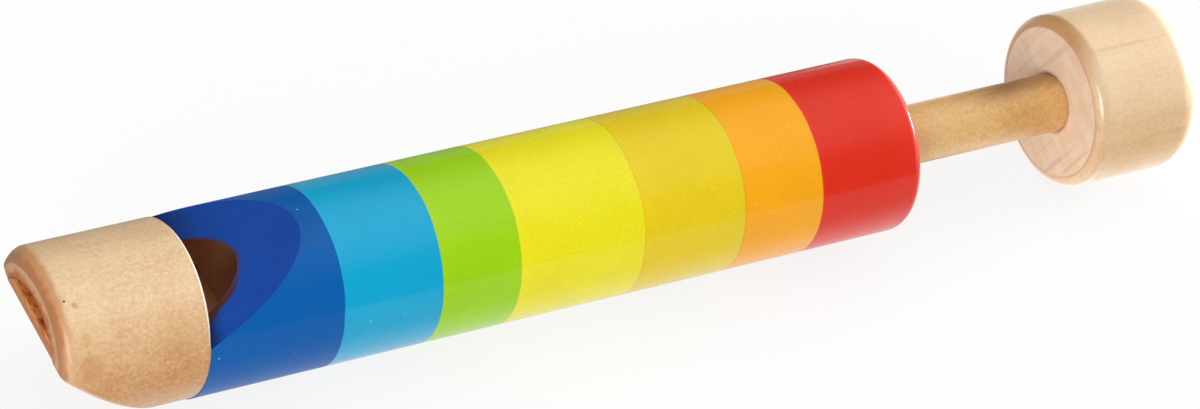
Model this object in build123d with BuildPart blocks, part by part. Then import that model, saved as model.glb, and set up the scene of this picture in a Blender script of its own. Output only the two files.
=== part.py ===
"""A wooden slide whistle: a painted barrel, a bare mouthpiece with its block, and a plunger.

Millimetres. The origin is on the barrel's axis, halfway along the barrel. +X points along the axis
to the knob, and +Z points up, out of the window that the tone comes from.
"""
import os
from math import radians, tan

from build123d import *

# Barrel: one tube, bored right through
BARREL_D = 30.0
BARREL_L = 135.0
BORE_D = 20.4
BARREL_END_ROUND = 1.8

# Window: a flat ramp that meets the bore's crown at the lip
WINDOW_L = 9.6
RAMP_ANGLE = 25.4

# Mouthpiece: a bare tube with the same bore, which the coats of paint on the barrel stand proud of,
# cut slantwise below its end face
PAINT_STEP = 0.15
MOUTH_L = 25.5
MOUTH_RIM_BREAK = 0.3
TIP_ROUND = 1.8
BEAK_TOP = 4.8
BEAK_HEEL = 1.0
BEAK_EDGE = 0.6

# Block: a dowel whose sloping flat is the windway's floor, with a half-round tongue into the barrel
WINDWAY_IN = 2.4
WINDWAY_OUT = 1.8
WINDWAY_LIP_CHAMFER = 0.5
TONGUE_L = 10.0
TONGUE_TOP = -3.0

# Bush in the barrel's far end
BUSH_L = 8.0
BUSH_RECESS = 0.6
BUSH_EDGE = 0.6

# Plunger
ROD_D = 10.3
ROD_END_CHAMFER = 0.5
KNOB_D = 30.4
KNOB_L = 21.5
KNOB_NEAR_ROUND = 3.0
KNOB_FAR_ROUND = 4.0
KNOB_SOCKET = 13.0
KNOB_GAP = 36.5
PISTON_STOP = 13.0

# Piston
HEAD_L = 10.0
HEAD_EDGE = 0.6
HEAD_SOCKET = 6.0
SPIGOT_D = 12.0
FELT_T = 5.0
WASHER_D = 16.0
WASHER_T = 1.2
SCREW_D = 3.5
SCREW_L = 20.0
SCREW_HEAD_D = 7.4
SCREW_HEAD_H = 2.6
SCREW_HEAD_EDGE = 0.8
SCREW_SLOT_W = 1.0
SCREW_SLOT_DEPTH = 1.3

# Fits, all radial or axial gaps
GLUE_GAP = 0.05
RUNNING_GAP = 0.08
HEAD_GAP = 0.4
FELT_PLAY = 0.1
SCREW_GAP = 0.1
SOCKET_END_GAP = 0.3
STOP_GAP = 0.3

BARREL_R = BARREL_D / 2
BORE_R = BORE_D / 2
MOUTH_R = BARREL_R - PAINT_STEP
ROD_R = ROD_D / 2
KNOB_R = KNOB_D / 2
SPIGOT_R = SPIGOT_D / 2
WASHER_R = WASHER_D / 2
SCREW_R = SCREW_D / 2
SCREW_HEAD_R = SCREW_HEAD_D / 2

# Stations along the axis
FRONT_X = -BARREL_L / 2
REAR_X = BARREL_L / 2
TIP_X = FRONT_X - MOUTH_L
BUSH_X = REAR_X - BUSH_RECESS - BUSH_L
KNOB_X = REAR_X + KNOB_GAP

# Travel of the plunger: in until the knob meets the barrel, out until the head meets the bush
TRAVEL_IN = KNOB_GAP - STOP_GAP
SCREW_X = FRONT_X + PISTON_STOP + TRAVEL_IN
WASHER_X = SCREW_X + SCREW_HEAD_H
SPIGOT_X = WASHER_X + WASHER_T
FELT_X = SPIGOT_X + FELT_PLAY
HEAD_X = FELT_X + FELT_T + FELT_PLAY
HEAD_END_X = HEAD_X + HEAD_L
ROD_X = HEAD_END_X - HEAD_SOCKET + SOCKET_END_GAP
ROD_END_X = KNOB_X + KNOB_SOCKET - SOCKET_END_GAP
TRAVEL_OUT = BUSH_X - STOP_GAP - HEAD_END_X

# How far a cutting profile reaches past the wood, so that it cuts clean through
CUT_OVER = 2.0

# Narrow cones that a sanded round of the barrel or the knob is turned in, within 0.04 mm of the full curve
ROUND_CONES = 6


def sanded_round(start, end, radius):
    """A quarter round between two points of the outline that is open."""
    curve = RadiusArc(start, end, radius, mode=Mode.PRIVATE)
    Polyline(*[curve @ (step / ROUND_CONES) for step in range(ROUND_CONES + 1)])


def turned_profile(x, length, inner_r, outer_r, near_round=0, far_round=0):
    """Half section of a turned piece along the X axis, drawn in the sketch that is open."""
    end_x = x + length
    near_side = (x, outer_r - near_round)
    near_top = (x + near_round, outer_r)
    far_top = (end_x - far_round, outer_r)
    far_side = (end_x, outer_r - far_round)
    with BuildLine() as outline:
        Line((x, inner_r), near_side)
        if near_round:
            sanded_round(near_side, near_top, near_round)
        Line(near_top, far_top)
        if far_round:
            sanded_round(far_top, far_side, far_round)
        Polyline(far_side, (end_x, inner_r), (x, inner_r))
    make_face(outline.edges())


def beak_profile():
    """Everything below the slanted cut, which leaves the wood at the heel."""
    slope = (BEAK_TOP + MOUTH_R) / (MOUTH_L - BEAK_HEEL)
    bottom = -MOUTH_R - CUT_OVER
    start_x = TIP_X - CUT_OVER
    start_z = BEAK_TOP + CUT_OVER * slope
    end_x = TIP_X + (BEAK_TOP - bottom) / slope
    with BuildLine() as outline:
        Polyline((start_x, start_z), (end_x, bottom), (start_x, bottom), close=True)
    make_face(outline.edges())


def distance_from_axis(point):
    return Vector(0, point.Y, point.Z).length


def beak_rim(piece, inside_r):
    """The outer edges of the slanted cut, without the line where it crosses the bore."""
    cut = piece.faces().filter_by(GeomType.PLANE).sort_by(lambda face: face.normal_at().Z)[0]
    return cut.edges().filter_by(lambda edge: distance_from_axis(edge @ 0.5) > inside_r)


# The barrel: bore, rounded far end, and the ramp that opens the window at its near end
with BuildPart() as barrel:
    with BuildSketch(Plane.XZ):
        turned_profile(FRONT_X, BARREL_L, BORE_R, BARREL_R, far_round=BARREL_END_ROUND)
    revolve(axis=Axis.X)
    with BuildSketch(Plane.XZ):
        ramp_slope = tan(radians(RAMP_ANGLE))
        top = BARREL_R + CUT_OVER
        foot_x = FRONT_X - CUT_OVER
        foot_z = BORE_R - (WINDOW_L + CUT_OVER) * ramp_slope
        ramp_end_x = FRONT_X + WINDOW_L + (top - BORE_R) / ramp_slope
        with BuildLine():
            Polyline((foot_x, foot_z), (ramp_end_x, top), (foot_x, top), close=True)
        make_face()
    extrude(amount=BARREL_D, both=True, mode=Mode.SUBTRACT)

# The mouthpiece: tube, rounded tip, and the beak cut away for the lower lip
with BuildPart() as mouthpiece:
    with BuildSketch(Plane.XZ):
        turned_profile(TIP_X, MOUTH_L, BORE_R, MOUTH_R)
    revolve(axis=Axis.X)
    tip_face = mouthpiece.faces().sort_by(Axis.X)[0]
    fillet(tip_face.outer_wire().edges(), TIP_ROUND)
    joint_face = mouthpiece.faces().sort_by(Axis.X)[-1]
    chamfer(joint_face.outer_wire().edges(), MOUTH_RIM_BREAK)
    with BuildSketch(Plane.XZ):
        beak_profile()
    extrude(amount=BARREL_D, both=True, mode=Mode.SUBTRACT)
    chamfer(beak_rim(mouthpiece, BORE_R + GLUE_GAP), BEAK_EDGE)

# The block: the dowel in the mouthpiece, flat on top, and its tongue under the window
with BuildPart() as fipple_block:
    with BuildSketch(Plane.YZ.offset(TIP_X)):
        Circle(BORE_R - GLUE_GAP)
    extrude(amount=MOUTH_L + TONGUE_L)
    with BuildSketch(Plane.XZ):
        tongue_x = FRONT_X + TONGUE_L + CUT_OVER
        crown = BORE_R + CUT_OVER
        with BuildLine():
            Polyline(
                (TIP_X, crown),
                (TIP_X, BORE_R - WINDWAY_IN),
                (FRONT_X, BORE_R - WINDWAY_OUT),
                (FRONT_X, TONGUE_TOP),
                (tongue_x, TONGUE_TOP),
                (tongue_x, crown),
                close=True,
            )
        make_face()
    extrude(amount=BORE_D, both=True, mode=Mode.SUBTRACT)
    exit_edge = fipple_block.edges().filter_by(Axis.Y).sort_by(Axis.Z)[-2:].sort_by(Axis.X)[-1]
    chamfer(exit_edge, WINDWAY_LIP_CHAMFER)
    with BuildSketch(Plane.XZ):
        beak_profile()
    extrude(amount=BORE_D, both=True, mode=Mode.SUBTRACT)
    tip_edges = fipple_block.edges().filter_by(Axis.Y).group_by(Axis.X)[0]
    chamfer(tip_edges.sort_by(Axis.Z)[0], BEAK_EDGE)

# The bush: a ring in the barrel's far end, with its hole eased at both mouths
with BuildPart() as end_bush:
    with BuildSketch(Plane.XZ):
        turned_profile(BUSH_X, BUSH_L, ROD_R + RUNNING_GAP, BORE_R - GLUE_GAP)
    revolve(axis=Axis.X)
    hole_rims = end_bush.edges().filter_by(GeomType.CIRCLE).sort_by(SortBy.RADIUS)[:2]
    chamfer(hole_rims, BUSH_EDGE)

# The rod: a dowel from the piston's socket to the knob's, with a pilot hole for the screw
with BuildPart() as plunger_rod:
    with BuildSketch(Plane.YZ.offset(ROD_X)):
        Circle(ROD_R)
    extrude(amount=ROD_END_X - ROD_X)
    chamfer(plunger_rod.edges().filter_by(GeomType.CIRCLE), ROD_END_CHAMFER)
    with BuildSketch(Plane.YZ.offset(ROD_X)):
        Circle(SCREW_R + SCREW_GAP)
    pilot_end_x = WASHER_X + SCREW_L + SOCKET_END_GAP
    extrude(amount=pilot_end_x - ROD_X, mode=Mode.SUBTRACT)

# The knob: a turned cylinder, rounder at its far end, with a blind socket for the rod
with BuildPart() as knob:
    with BuildSketch(Plane.XZ):
        turned_profile(KNOB_X, KNOB_L, 0, KNOB_R, KNOB_NEAR_ROUND, KNOB_FAR_ROUND)
    revolve(axis=Axis.X)
    with BuildSketch(Plane.YZ.offset(KNOB_X)):
        Circle(ROD_R + GLUE_GAP)
    extrude(amount=KNOB_SOCKET, mode=Mode.SUBTRACT)

# The piston's head: a disc with a socket for the rod behind and a spigot for the felt in front
with BuildPart() as piston_head:
    with BuildSketch(Plane.YZ.offset(HEAD_X)):
        Circle(BORE_R - HEAD_GAP)
    extrude(amount=HEAD_L)
    chamfer(piston_head.edges().filter_by(GeomType.CIRCLE), HEAD_EDGE)
    with BuildSketch(Plane.YZ.offset(SPIGOT_X)):
        Circle(SPIGOT_R)
    extrude(amount=HEAD_X - SPIGOT_X)
    with BuildSketch(Plane.YZ.offset(HEAD_END_X)):
        Circle(ROD_R + GLUE_GAP)
    extrude(amount=-HEAD_SOCKET, mode=Mode.SUBTRACT)
    with BuildSketch(Plane.YZ.offset(SPIGOT_X)):
        Circle(SCREW_R + SCREW_GAP)
    extrude(amount=HEAD_END_X - SPIGOT_X, mode=Mode.SUBTRACT)

# The felt: a ring that seals against the bore and lets the head turn in it
with BuildPart() as piston_felt:
    with BuildSketch(Plane.XZ):
        turned_profile(FELT_X, FELT_T, SPIGOT_R + RUNNING_GAP, BORE_R - RUNNING_GAP)
    revolve(axis=Axis.X)

# The washer in front of the felt, seated on the spigot's end
with BuildPart() as piston_washer:
    with BuildSketch(Plane.XZ):
        turned_profile(WASHER_X, WASHER_T, SCREW_R + SCREW_GAP, WASHER_R)
    revolve(axis=Axis.X)

# The screw: a round head with a slot, its shank through washer and head into the rod
with BuildPart() as piston_screw:
    with BuildSketch(Plane.YZ.offset(SCREW_X)):
        Circle(SCREW_HEAD_R)
    extrude(amount=SCREW_HEAD_H)
    chamfer(piston_screw.edges().filter_by(GeomType.CIRCLE).sort_by(Axis.X)[0], SCREW_HEAD_EDGE)
    with BuildSketch(Plane.YZ.offset(WASHER_X)):
        Circle(SCREW_R)
    extrude(amount=SCREW_L)
    with BuildSketch(Plane.YZ.offset(SCREW_X)):
        Rectangle(SCREW_HEAD_D, SCREW_SLOT_W)
    extrude(amount=SCREW_SLOT_DEPTH, mode=Mode.SUBTRACT)

pieces = {
    "barrel": barrel,
    "mouthpiece": mouthpiece,
    "fipple_block": fipple_block,
    "end_bush": end_bush,
    "plunger_rod": plunger_rod,
    "knob": knob,
    "piston_head": piston_head,
    "piston_felt": piston_felt,
    "piston_washer": piston_washer,
    "piston_screw": piston_screw,
}
os.makedirs("parts", exist_ok=True)
for name, piece in pieces.items():
    piece.part.label = name
    export_step(piece.part, f"parts/{name}.step")

print(f"overall length {KNOB_X + KNOB_L - TIP_X:.1f} mm")
print(f"plunger travel {-TRAVEL_IN:.1f} to {TRAVEL_OUT:.1f} mm")
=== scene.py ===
# %% [markdown]
# # A wooden slide whistle
# The toy is a painted wooden tube with a bare beaked mouthpiece at one end and a plunger at the other.
# Air goes in through a slot above a block, splits on the lip of the window, and the column of air up to the
# piston sounds: pulling the knob makes it longer and the note lower.
#
# The solids come from the frame that is loaded first. This file dresses them: it turns the main wooden
# pieces again in Geometry Nodes, finely enough for close views, and gives every piece its wood, paint, felt
# or steel. Lengths are metres, +X runs along the barrel to the knob, and +Z points out of the window.

# %% Load the frame
import math

import bmesh
import bpy
from mathutils import Matrix, Vector


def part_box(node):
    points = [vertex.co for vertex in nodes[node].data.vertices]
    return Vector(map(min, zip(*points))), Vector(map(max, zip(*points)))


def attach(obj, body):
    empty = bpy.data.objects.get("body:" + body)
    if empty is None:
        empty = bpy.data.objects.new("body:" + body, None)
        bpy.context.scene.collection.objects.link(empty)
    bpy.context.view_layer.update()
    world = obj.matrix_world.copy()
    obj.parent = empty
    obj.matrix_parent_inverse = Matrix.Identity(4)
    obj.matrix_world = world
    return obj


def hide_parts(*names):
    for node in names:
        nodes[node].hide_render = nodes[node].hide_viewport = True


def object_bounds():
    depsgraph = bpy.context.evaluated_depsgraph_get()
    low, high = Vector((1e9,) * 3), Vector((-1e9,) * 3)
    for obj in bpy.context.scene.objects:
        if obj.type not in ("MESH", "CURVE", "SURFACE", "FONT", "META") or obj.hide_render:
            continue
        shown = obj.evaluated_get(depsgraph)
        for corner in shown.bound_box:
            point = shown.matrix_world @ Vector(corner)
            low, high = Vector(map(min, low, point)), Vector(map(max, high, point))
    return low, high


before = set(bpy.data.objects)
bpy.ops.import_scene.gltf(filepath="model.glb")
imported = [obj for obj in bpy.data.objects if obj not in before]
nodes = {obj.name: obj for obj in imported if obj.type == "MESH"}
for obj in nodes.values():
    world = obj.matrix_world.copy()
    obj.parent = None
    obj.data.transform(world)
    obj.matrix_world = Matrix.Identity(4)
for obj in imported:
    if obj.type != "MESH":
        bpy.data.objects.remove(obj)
cad_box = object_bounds()
MM = 0.001
print("CAD nodes:", ", ".join(sorted(nodes)))

# %% [markdown]
# ## Sizes
# The outer sizes are read from the frame's own boxes, so they can't drift from the solids. What a box
# doesn't show, such as the bore or the slope of the ramp, is written here once, as it is in the solids. The
# tip's lean isn't in them: the real tip looks sanded by hand and leans back a little at its far side.

# %% Sizes of the main pieces
barrel_low, barrel_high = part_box("barrel")
mouth_low, mouth_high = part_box("mouthpiece")
knob_low, knob_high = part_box("knob")
FRONT_X = barrel_low.x
BARREL_L = barrel_high.x - barrel_low.x
BARREL_R = barrel_high.y
TIP_X = mouth_low.x
MOUTH_L = mouth_high.x - mouth_low.x
MOUTH_R = mouth_high.y
KNOB_X = knob_low.x
KNOB_L = knob_high.x - knob_low.x
KNOB_R = knob_high.y
BORE_R = 10.2 * MM
END_ROUND = 1.8 * MM
WINDOW_L = 9.6 * MM
RAMP_SLOPE = math.tan(math.radians(25.4))
BEAK_TOP = 4.8 * MM
BEAK_HEEL = 1.0 * MM
BEAK_SLOPE = (BEAK_TOP + MOUTH_R) / (MOUTH_L - BEAK_HEEL)
TIP_LEAN = 0.28
LEAN_FROM = 8.0 * MM
LEAN_BLEND = 6.0 * MM
print(f"barrel {BARREL_L / MM:.1f} x {2 * BARREL_R / MM:.1f} mm")
print(f"mouthpiece {MOUTH_L / MM:.1f} mm and knob {KNOB_L / MM:.1f} mm long")

# %% [markdown]
# ## Camera
# The photograph's view could be matched by eye, but its perspective gives it: the paint rings on the barrel
# are circles of known size at known stations, so they fix where the camera stood, its lens and its roll. It
# looks down at about 45 degrees from the mouthpiece's side, and the picture is rolled so that the whistle
# climbs to the right.

# %% Set up the camera
CAMERA_PLACE = Vector((-0.4392, -0.4919, 0.6734))
CAMERA_AIM = Vector((0.01293, 0.00042, 0.00011))
CAMERA_ROLL = math.radians(20.0)
CAMERA_LENS = 171.5
SENSOR_WIDTH = 36.0
NEAREST_SEEN = 0.01


def placed(name, data):
    """An object made from its data and linked into the scene."""
    made = bpy.data.objects.new(name, data)
    bpy.context.scene.collection.objects.link(made)
    return made


camera_data = bpy.data.cameras.new("camera")
camera_data.sensor_fit = "HORIZONTAL"
camera_data.sensor_width = SENSOR_WIDTH
camera_data.lens = CAMERA_LENS
camera_data.clip_start = NEAREST_SEEN
camera = placed("camera", camera_data)
camera.location = CAMERA_PLACE
facing = (CAMERA_AIM - CAMERA_PLACE).to_track_quat("-Z", "Y").to_matrix().to_4x4()
camera.rotation_euler = (facing @ Matrix.Rotation(CAMERA_ROLL, 4, "Z")).to_euler()
bpy.context.scene.camera = camera
print(f"camera {(CAMERA_AIM - CAMERA_PLACE).length:.3f} m from the barrel")

# %% [markdown]
# ## Formulas as nodes
# Geometry and shader trees are both made of small Math nodes. Placed and linked one by one they are slow to
# read in a script, so a thin class lets a formula be written as a formula: every sum or product adds its
# Math node to the tree.

# %% A field that can be reckoned with
def plug(tree, place, value):
    """Links a field or a socket to an input, or sets a plain value on it."""
    if isinstance(value, Field):
        value = value.socket
    if isinstance(value, bpy.types.NodeSocket):
        tree.links.new(value, place)
    else:
        place.default_value = value


class Field:
    """A number that Blender works out point by point."""

    def __init__(self, tree, socket):
        self.tree = tree
        self.socket = socket

    def do(self, operation, *others):
        """What a Math node makes of this field and the others."""
        made = self.tree.nodes.new("ShaderNodeMath")
        made.operation = operation
        for place, value in zip(made.inputs, (self,) + others):
            plug(self.tree, place, value)
        return Field(self.tree, made.outputs[0])

    def __add__(self, other):
        return self.do("ADD", other)

    def __sub__(self, other):
        return self.do("SUBTRACT", other)

    def __mul__(self, other):
        return self.do("MULTIPLY", other)

    def __truediv__(self, other):
        return self.do("DIVIDE", other)

    def rise(self, low, high):
        """0 on low's side, 1 on high's side and a smooth step between. Low may be the larger."""
        made = self.tree.nodes.new("ShaderNodeMapRange")
        made.interpolation_type = "SMOOTHSTEP"
        plug(self.tree, made.inputs["Value"], self)
        plug(self.tree, made.inputs["From Min"], low)
        plug(self.tree, made.inputs["From Max"], high)
        return Field(self.tree, made.outputs["Result"])


def split(tree, vector):
    """The three fields of a vector."""
    made = tree.nodes.new("ShaderNodeSeparateXYZ")
    plug(tree, made.inputs[0], vector)
    return [Field(tree, socket) for socket in made.outputs]


def join(tree, x, y, z):
    """The vector of three fields."""
    made = tree.nodes.new("ShaderNodeCombineXYZ")
    for place, value in zip(made.inputs, (x, y, z)):
        plug(tree, place, value)
    return made.outputs[0]


print("fields ready, with split and join for vectors")

# %% [markdown]
# ## Colours
# Colours are written as a colour picker names them, from 0 to 255, and turned into the linear values that
# Blender's sockets take. Written straight into the sockets, the same numbers would come out too pale.

# %% Colour and material helpers
def colour(red, green, blue):
    """A colour from 0 to 255 as linear values, by the usual curve of screens."""
    def linear(value):
        value = value / 255
        if value <= 0.04045:
            return value / 12.92
        return ((value + 0.055) / 1.055) ** 2.4

    return (linear(red), linear(green), linear(blue), 1.0)


def new_material(name):
    """A material, its node tree and its Principled shader."""
    made = bpy.data.materials.new(name)
    made.use_nodes = True
    return made, made.node_tree, made.node_tree.nodes["Principled BSDF"]


def tell(name, tree):
    """Prints what a tree is for and how many nodes it took."""
    print(f"{name}: {len(tree.nodes)} nodes")


def object_place(tree):
    """Where a point is on the object, in metres."""
    return tree.nodes.new("ShaderNodeTexCoord").outputs["Object"]


def stretched(tree, vector, x, y, z):
    """A vector with each of its parts scaled."""
    made = tree.nodes.new("ShaderNodeVectorMath")
    made.operation = "MULTIPLY"
    plug(tree, made.inputs[0], vector)
    made.inputs[1].default_value = (x, y, z)
    return made.outputs[0]


def noise(tree, vector, scale=1.0, detail=2.0, roughness=0.5):
    """A cloudy field from 0 to 1, finer for a larger scale."""
    made = tree.nodes.new("ShaderNodeTexNoise")
    plug(tree, made.inputs["Vector"], vector)
    plug(tree, made.inputs["Scale"], scale)
    made.inputs["Detail"].default_value = detail
    made.inputs["Roughness"].default_value = roughness
    return Field(tree, made.outputs[0])


def mixed(tree, share, first, second):
    """One colour fading to another. A Mix node keeps its colours at inputs 6 and 7 and at output 2."""
    made = tree.nodes.new("ShaderNodeMix")
    made.data_type = "RGBA"
    plug(tree, made.inputs[0], share)
    plug(tree, made.inputs[6], first)
    plug(tree, made.inputs[7], second)
    return made.outputs[2]


def scaled(tree, shade, factor):
    """A colour made lighter or darker without a change of hue."""
    made = tree.nodes.new("ShaderNodeVectorMath")
    made.operation = "SCALE"
    plug(tree, made.inputs[0], shade)
    plug(tree, made.inputs["Scale"], factor)
    return made.outputs[0]


def bumped(tree, shader, height, distance):
    """Gives a shader small relief: a height of 1 stands out by the distance, in metres."""
    made = tree.nodes.new("ShaderNodeBump")
    made.inputs["Strength"].default_value = 1.0
    made.inputs["Distance"].default_value = distance
    plug(tree, made.inputs["Height"], height)
    tree.links.new(made.outputs["Normal"], shader.inputs["Normal"])


print("colour and material helpers ready")

# %% [markdown]
# ## Light and floor
# The photograph looks as if it was lit from above in a dim room with a white wall at the right: the upper
# side of the barrel shows a pale sheen, the side towards the photographer reflects the dark room, and the
# strip below that reflects the white table. Lamps alone would show as hard shapes in the lacquer, so most
# of the light comes from a world that is bright overhead and at the right and dark elsewhere. A large soft
# box at the left fills the front, where a long barrel can't mirror it, and makes the streak on the knob's
# rounded edge. A smaller one, low at the right, lights the far rims.

# %% The world and two soft boxes
WHITE = (1.0, 1.0, 1.0, 1.0)
DIM_ROOM = 0.06
world = bpy.data.worlds.new("studio")
bpy.context.scene.world = world
world.use_nodes = True
sky = world.node_tree
right, back, up = split(sky, sky.nodes.new("ShaderNodeTexCoord").outputs["Generated"])
overhead = back * 0.17 + up * 0.985
ceiling = overhead.rise(0.42, 0.9) * 0.7
brightest = overhead.rise(0.88, 1.0) * 0.84
white_wall = right.rise(0.62, 0.85) * 2.2
sky.nodes["Background"].inputs["Color"].default_value = WHITE
plug(sky, sky.nodes["Background"].inputs["Strength"], ceiling + brightest + white_wall + DIM_ROOM)
bpy.context.scene.view_settings.view_transform = "Standard"


def softbox(name, place, aim, width, height, watts):
    """A soft rectangular lamp that faces a point."""
    data = bpy.data.lights.new(name, "AREA")
    data.shape = "RECTANGLE"
    data.size = width
    data.size_y = height
    data.energy = watts
    lamp = placed(name, data)
    lamp.location = place
    lamp.rotation_euler = (Vector(aim) - Vector(place)).to_track_quat("-Z", "Y").to_euler()


softbox("left_box", place=(-0.68, -0.54, 0.33), aim=(0.0, 0.0, 0.0), width=0.5, height=0.5, watts=4.7)
softbox("far_box", place=(0.85, 0.05, 0.12), aim=(0.1, 0.0, 0.0), width=0.2, height=0.2, watts=6.0)
lamps = [made for made in bpy.data.objects if made.type == "LIGHT"]
print("studio: world and", len(lamps), "soft boxes")

# %% The white of the floor
# The camera sees a floor that glows white. The lacquer mirrors it brighter in a strip along the barrel, at
# the knob and in front. What is left of the blend is plain white paint, which takes the shadow.
GLOW_SHARE = 0.85
floor_material, tree, shader = new_material("white_table")
shader.inputs["Base Color"].default_value = (0.9, 0.9, 0.9, 1.0)
shader.inputs["Roughness"].default_value = 0.8
light_path = tree.nodes.new("ShaderNodeLightPath")
in_camera = Field(tree, light_path.outputs["Is Camera Ray"])
in_gloss = Field(tree, light_path.outputs["Is Glossy Ray"])
mirrored = in_gloss.do("MAXIMUM", light_path.outputs["Is Transmission Ray"])
to_right, behind, _ = split(tree, object_place(tree))
below_knob = to_right.rise(0.085, 0.1) * to_right.rise(0.3, 0.2)
far_end = below_knob * behind.rise(-0.03, 0.0) * behind.rise(0.1, 0.06)
close_by = behind.rise(-0.04, -0.016) * behind.rise(0.0, -0.008)
in_front = behind.rise(0.0, -0.02)
reflected = close_by * 0.7 + far_end * 0.8 + in_front * 0.46 + 0.12
white = tree.nodes.new("ShaderNodeEmission")
plug(tree, white.inputs["Strength"], in_camera + (in_camera * -1.0 + 1.0) * reflected)
blend = tree.nodes.new("ShaderNodeMixShader")
plug(tree, blend.inputs[0], in_camera.do("MAXIMUM", mirrored) * GLOW_SHARE)
tree.links.new(shader.outputs[0], blend.inputs[1])
tree.links.new(white.outputs[0], blend.inputs[2])
tree.links.new(blend.outputs[0], tree.nodes["Material Output"].inputs["Surface"])
tell("white of the floor", tree)

# %% The floor
FLOOR_REACH = 4.0
FLOOR_GAP = 0.05 * MM
floor_z = cad_box[0][2] - FLOOR_GAP
corners = [(-1, -1), (1, -1), (1, 1), (-1, 1)]
floor_points = [(x * FLOOR_REACH, y * FLOOR_REACH, floor_z) for x, y in corners]
floor_mesh = bpy.data.meshes.new("table")
floor_mesh.from_pydata(floor_points, [], [(0, 1, 2, 3)])
floor_mesh.materials.append(floor_material)
floor = placed("table", floor_mesh)
print(f"floor at {floor_z / MM:.2f} mm")

# %% [markdown]
# ## Shared finishes
# Three effects turn up again and again, so each is a shader group with named inputs and outputs, built once
# and placed where it is needed. Maple has a soft figure, fine fibres along the barrel and small dark flecks,
# and goes from pale sapwood to deeper heartwood across a piece, as far as one input says. On the mouthpiece
# and the knob that input also carries painted shade: deeper below and paler on top. Clear lacquer has a
# faint orange peel and a few specks of dust. A paint edge is never quite straight, and the coats overlap
# along it. Pictures of wood would have to be unwrapped round each piece. These patterns run through the
# piece instead, as grain does.

# %% Helpers for shader groups
def new_group(name, inputs, outputs):
    """A shader group with its named sockets, and the nodes that stand for them."""
    group = bpy.data.node_groups.new(name, "ShaderNodeTree")
    for label, kind in inputs:
        group.interface.new_socket(label, in_out="INPUT", socket_type=kind)
    for label, kind in outputs:
        group.interface.new_socket(label, in_out="OUTPUT", socket_type=kind)
    return group, group.nodes.new("NodeGroupInput").outputs, group.nodes.new("NodeGroupOutput").inputs


def use_group(tree, group, **values):
    """Places a group in a material, sets its inputs and gives its outputs."""
    made = tree.nodes.new("ShaderNodeGroup")
    made.node_tree = group
    for label, value in values.items():
        plug(tree, made.inputs[label.replace("_", " ")], value)
    return made.outputs


def dots(tree, vector, size, share, scale=1.0):
    """A few round dots: one in some of the cells of a Voronoi pattern."""
    cells = tree.nodes.new("ShaderNodeTexVoronoi")
    plug(tree, cells.inputs["Vector"], vector)
    cells.inputs["Scale"].default_value = scale
    distance = Field(tree, cells.outputs["Distance"])
    chance = split(tree, cells.outputs["Color"])[0]
    inside = distance.rise(size, size * 0.5)
    return inside * chance.do("LESS_THAN", share)


VECTOR = "NodeSocketVector"
FLOAT = "NodeSocketFloat"
COLOUR = "NodeSocketColor"
print("group helpers ready")

# %% The maple group
maple, given, made = new_group(
    "maple",
    [("Place", VECTOR), ("Pale", COLOUR), ("Deep", COLOUR), ("Fleck colour", COLOUR), ("Heart", FLOAT)],
    [("Color", COLOUR), ("Height", FLOAT)],
)
figure = noise(maple, stretched(maple, given["Place"], 28, 130, 130), detail=3.0)
curl = noise(maple, stretched(maple, given["Place"], 160, 45, 45))
fibre = noise(maple, stretched(maple, given["Place"], 260, 3600, 3600))
speckle = noise(maple, given["Place"], 1500.0)
deep = (figure - 0.5) * 0.5 + (curl - 0.5) * 0.3 + (fibre - 0.5) * 0.4 + (speckle - 0.5) * 0.8
deep = deep + Field(maple, given["Heart"])
flecks = dots(maple, stretched(maple, given["Place"], 90, 170, 170), size=0.035, share=0.35)
wood = mixed(maple, deep.do("MINIMUM", 1.0).do("MAXIMUM", 0.0), given["Pale"], given["Deep"])
plug(maple, made["Color"], mixed(maple, flecks * 0.8, wood, given["Fleck colour"]))
plug(maple, made["Height"], fibre * 0.7 + speckle * 0.3)
tell("maple group", maple)

# %% The lacquer group
lacquer, given, made = new_group(
    "clear lacquer",
    [("Place", VECTOR), ("Roughest", FLOAT)],
    [("Height", FLOAT), ("Specks", FLOAT), ("Roughness", FLOAT)],
)
peel = noise(lacquer, given["Place"], 420.0, detail=1.0)
ripple = noise(lacquer, given["Place"], 1500.0, detail=1.0)
nibs = dots(lacquer, given["Place"], size=0.035, share=0.5, scale=190.0)
plug(lacquer, made["Height"], peel * 0.6 + ripple * 0.15 + nibs * 0.5)
plug(lacquer, made["Specks"], nibs)
rubbed = noise(lacquer, given["Place"], 90.0, detail=3.0)
plug(lacquer, made["Roughness"], Field(lacquer, given["Roughest"]) * (rubbed * 0.6 + 0.7))
tell("lacquer group", lacquer)

# %% The paint edge group
paint_edge, given, made = new_group(
    "paint edge",
    [("Place", VECTOR), ("Along", FLOAT), ("Edge", FLOAT)],
    [("Past", FLOAT), ("Ridge", FLOAT), ("Overlap", FLOAT)],
)
_, side, height = split(paint_edge, given["Place"])
edge = Field(paint_edge, given["Edge"])
around = join(paint_edge, edge * 0.37, side * 95, height * 95)
wander = (noise(paint_edge, around, detail=4.0) - 0.5) * 0.6
beyond = Field(paint_edge, given["Along"]) - edge + wander
plug(paint_edge, made["Past"], beyond.rise(-0.05, 0.05))
plug(paint_edge, made["Ridge"], (beyond - 0.12).do("ABSOLUTE").rise(0.28, 0.0))
plug(paint_edge, made["Overlap"], beyond.rise(-1.9, -1.5) * beyond.rise(0.05, -0.05))
tell("paint edge group", paint_edge)
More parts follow.
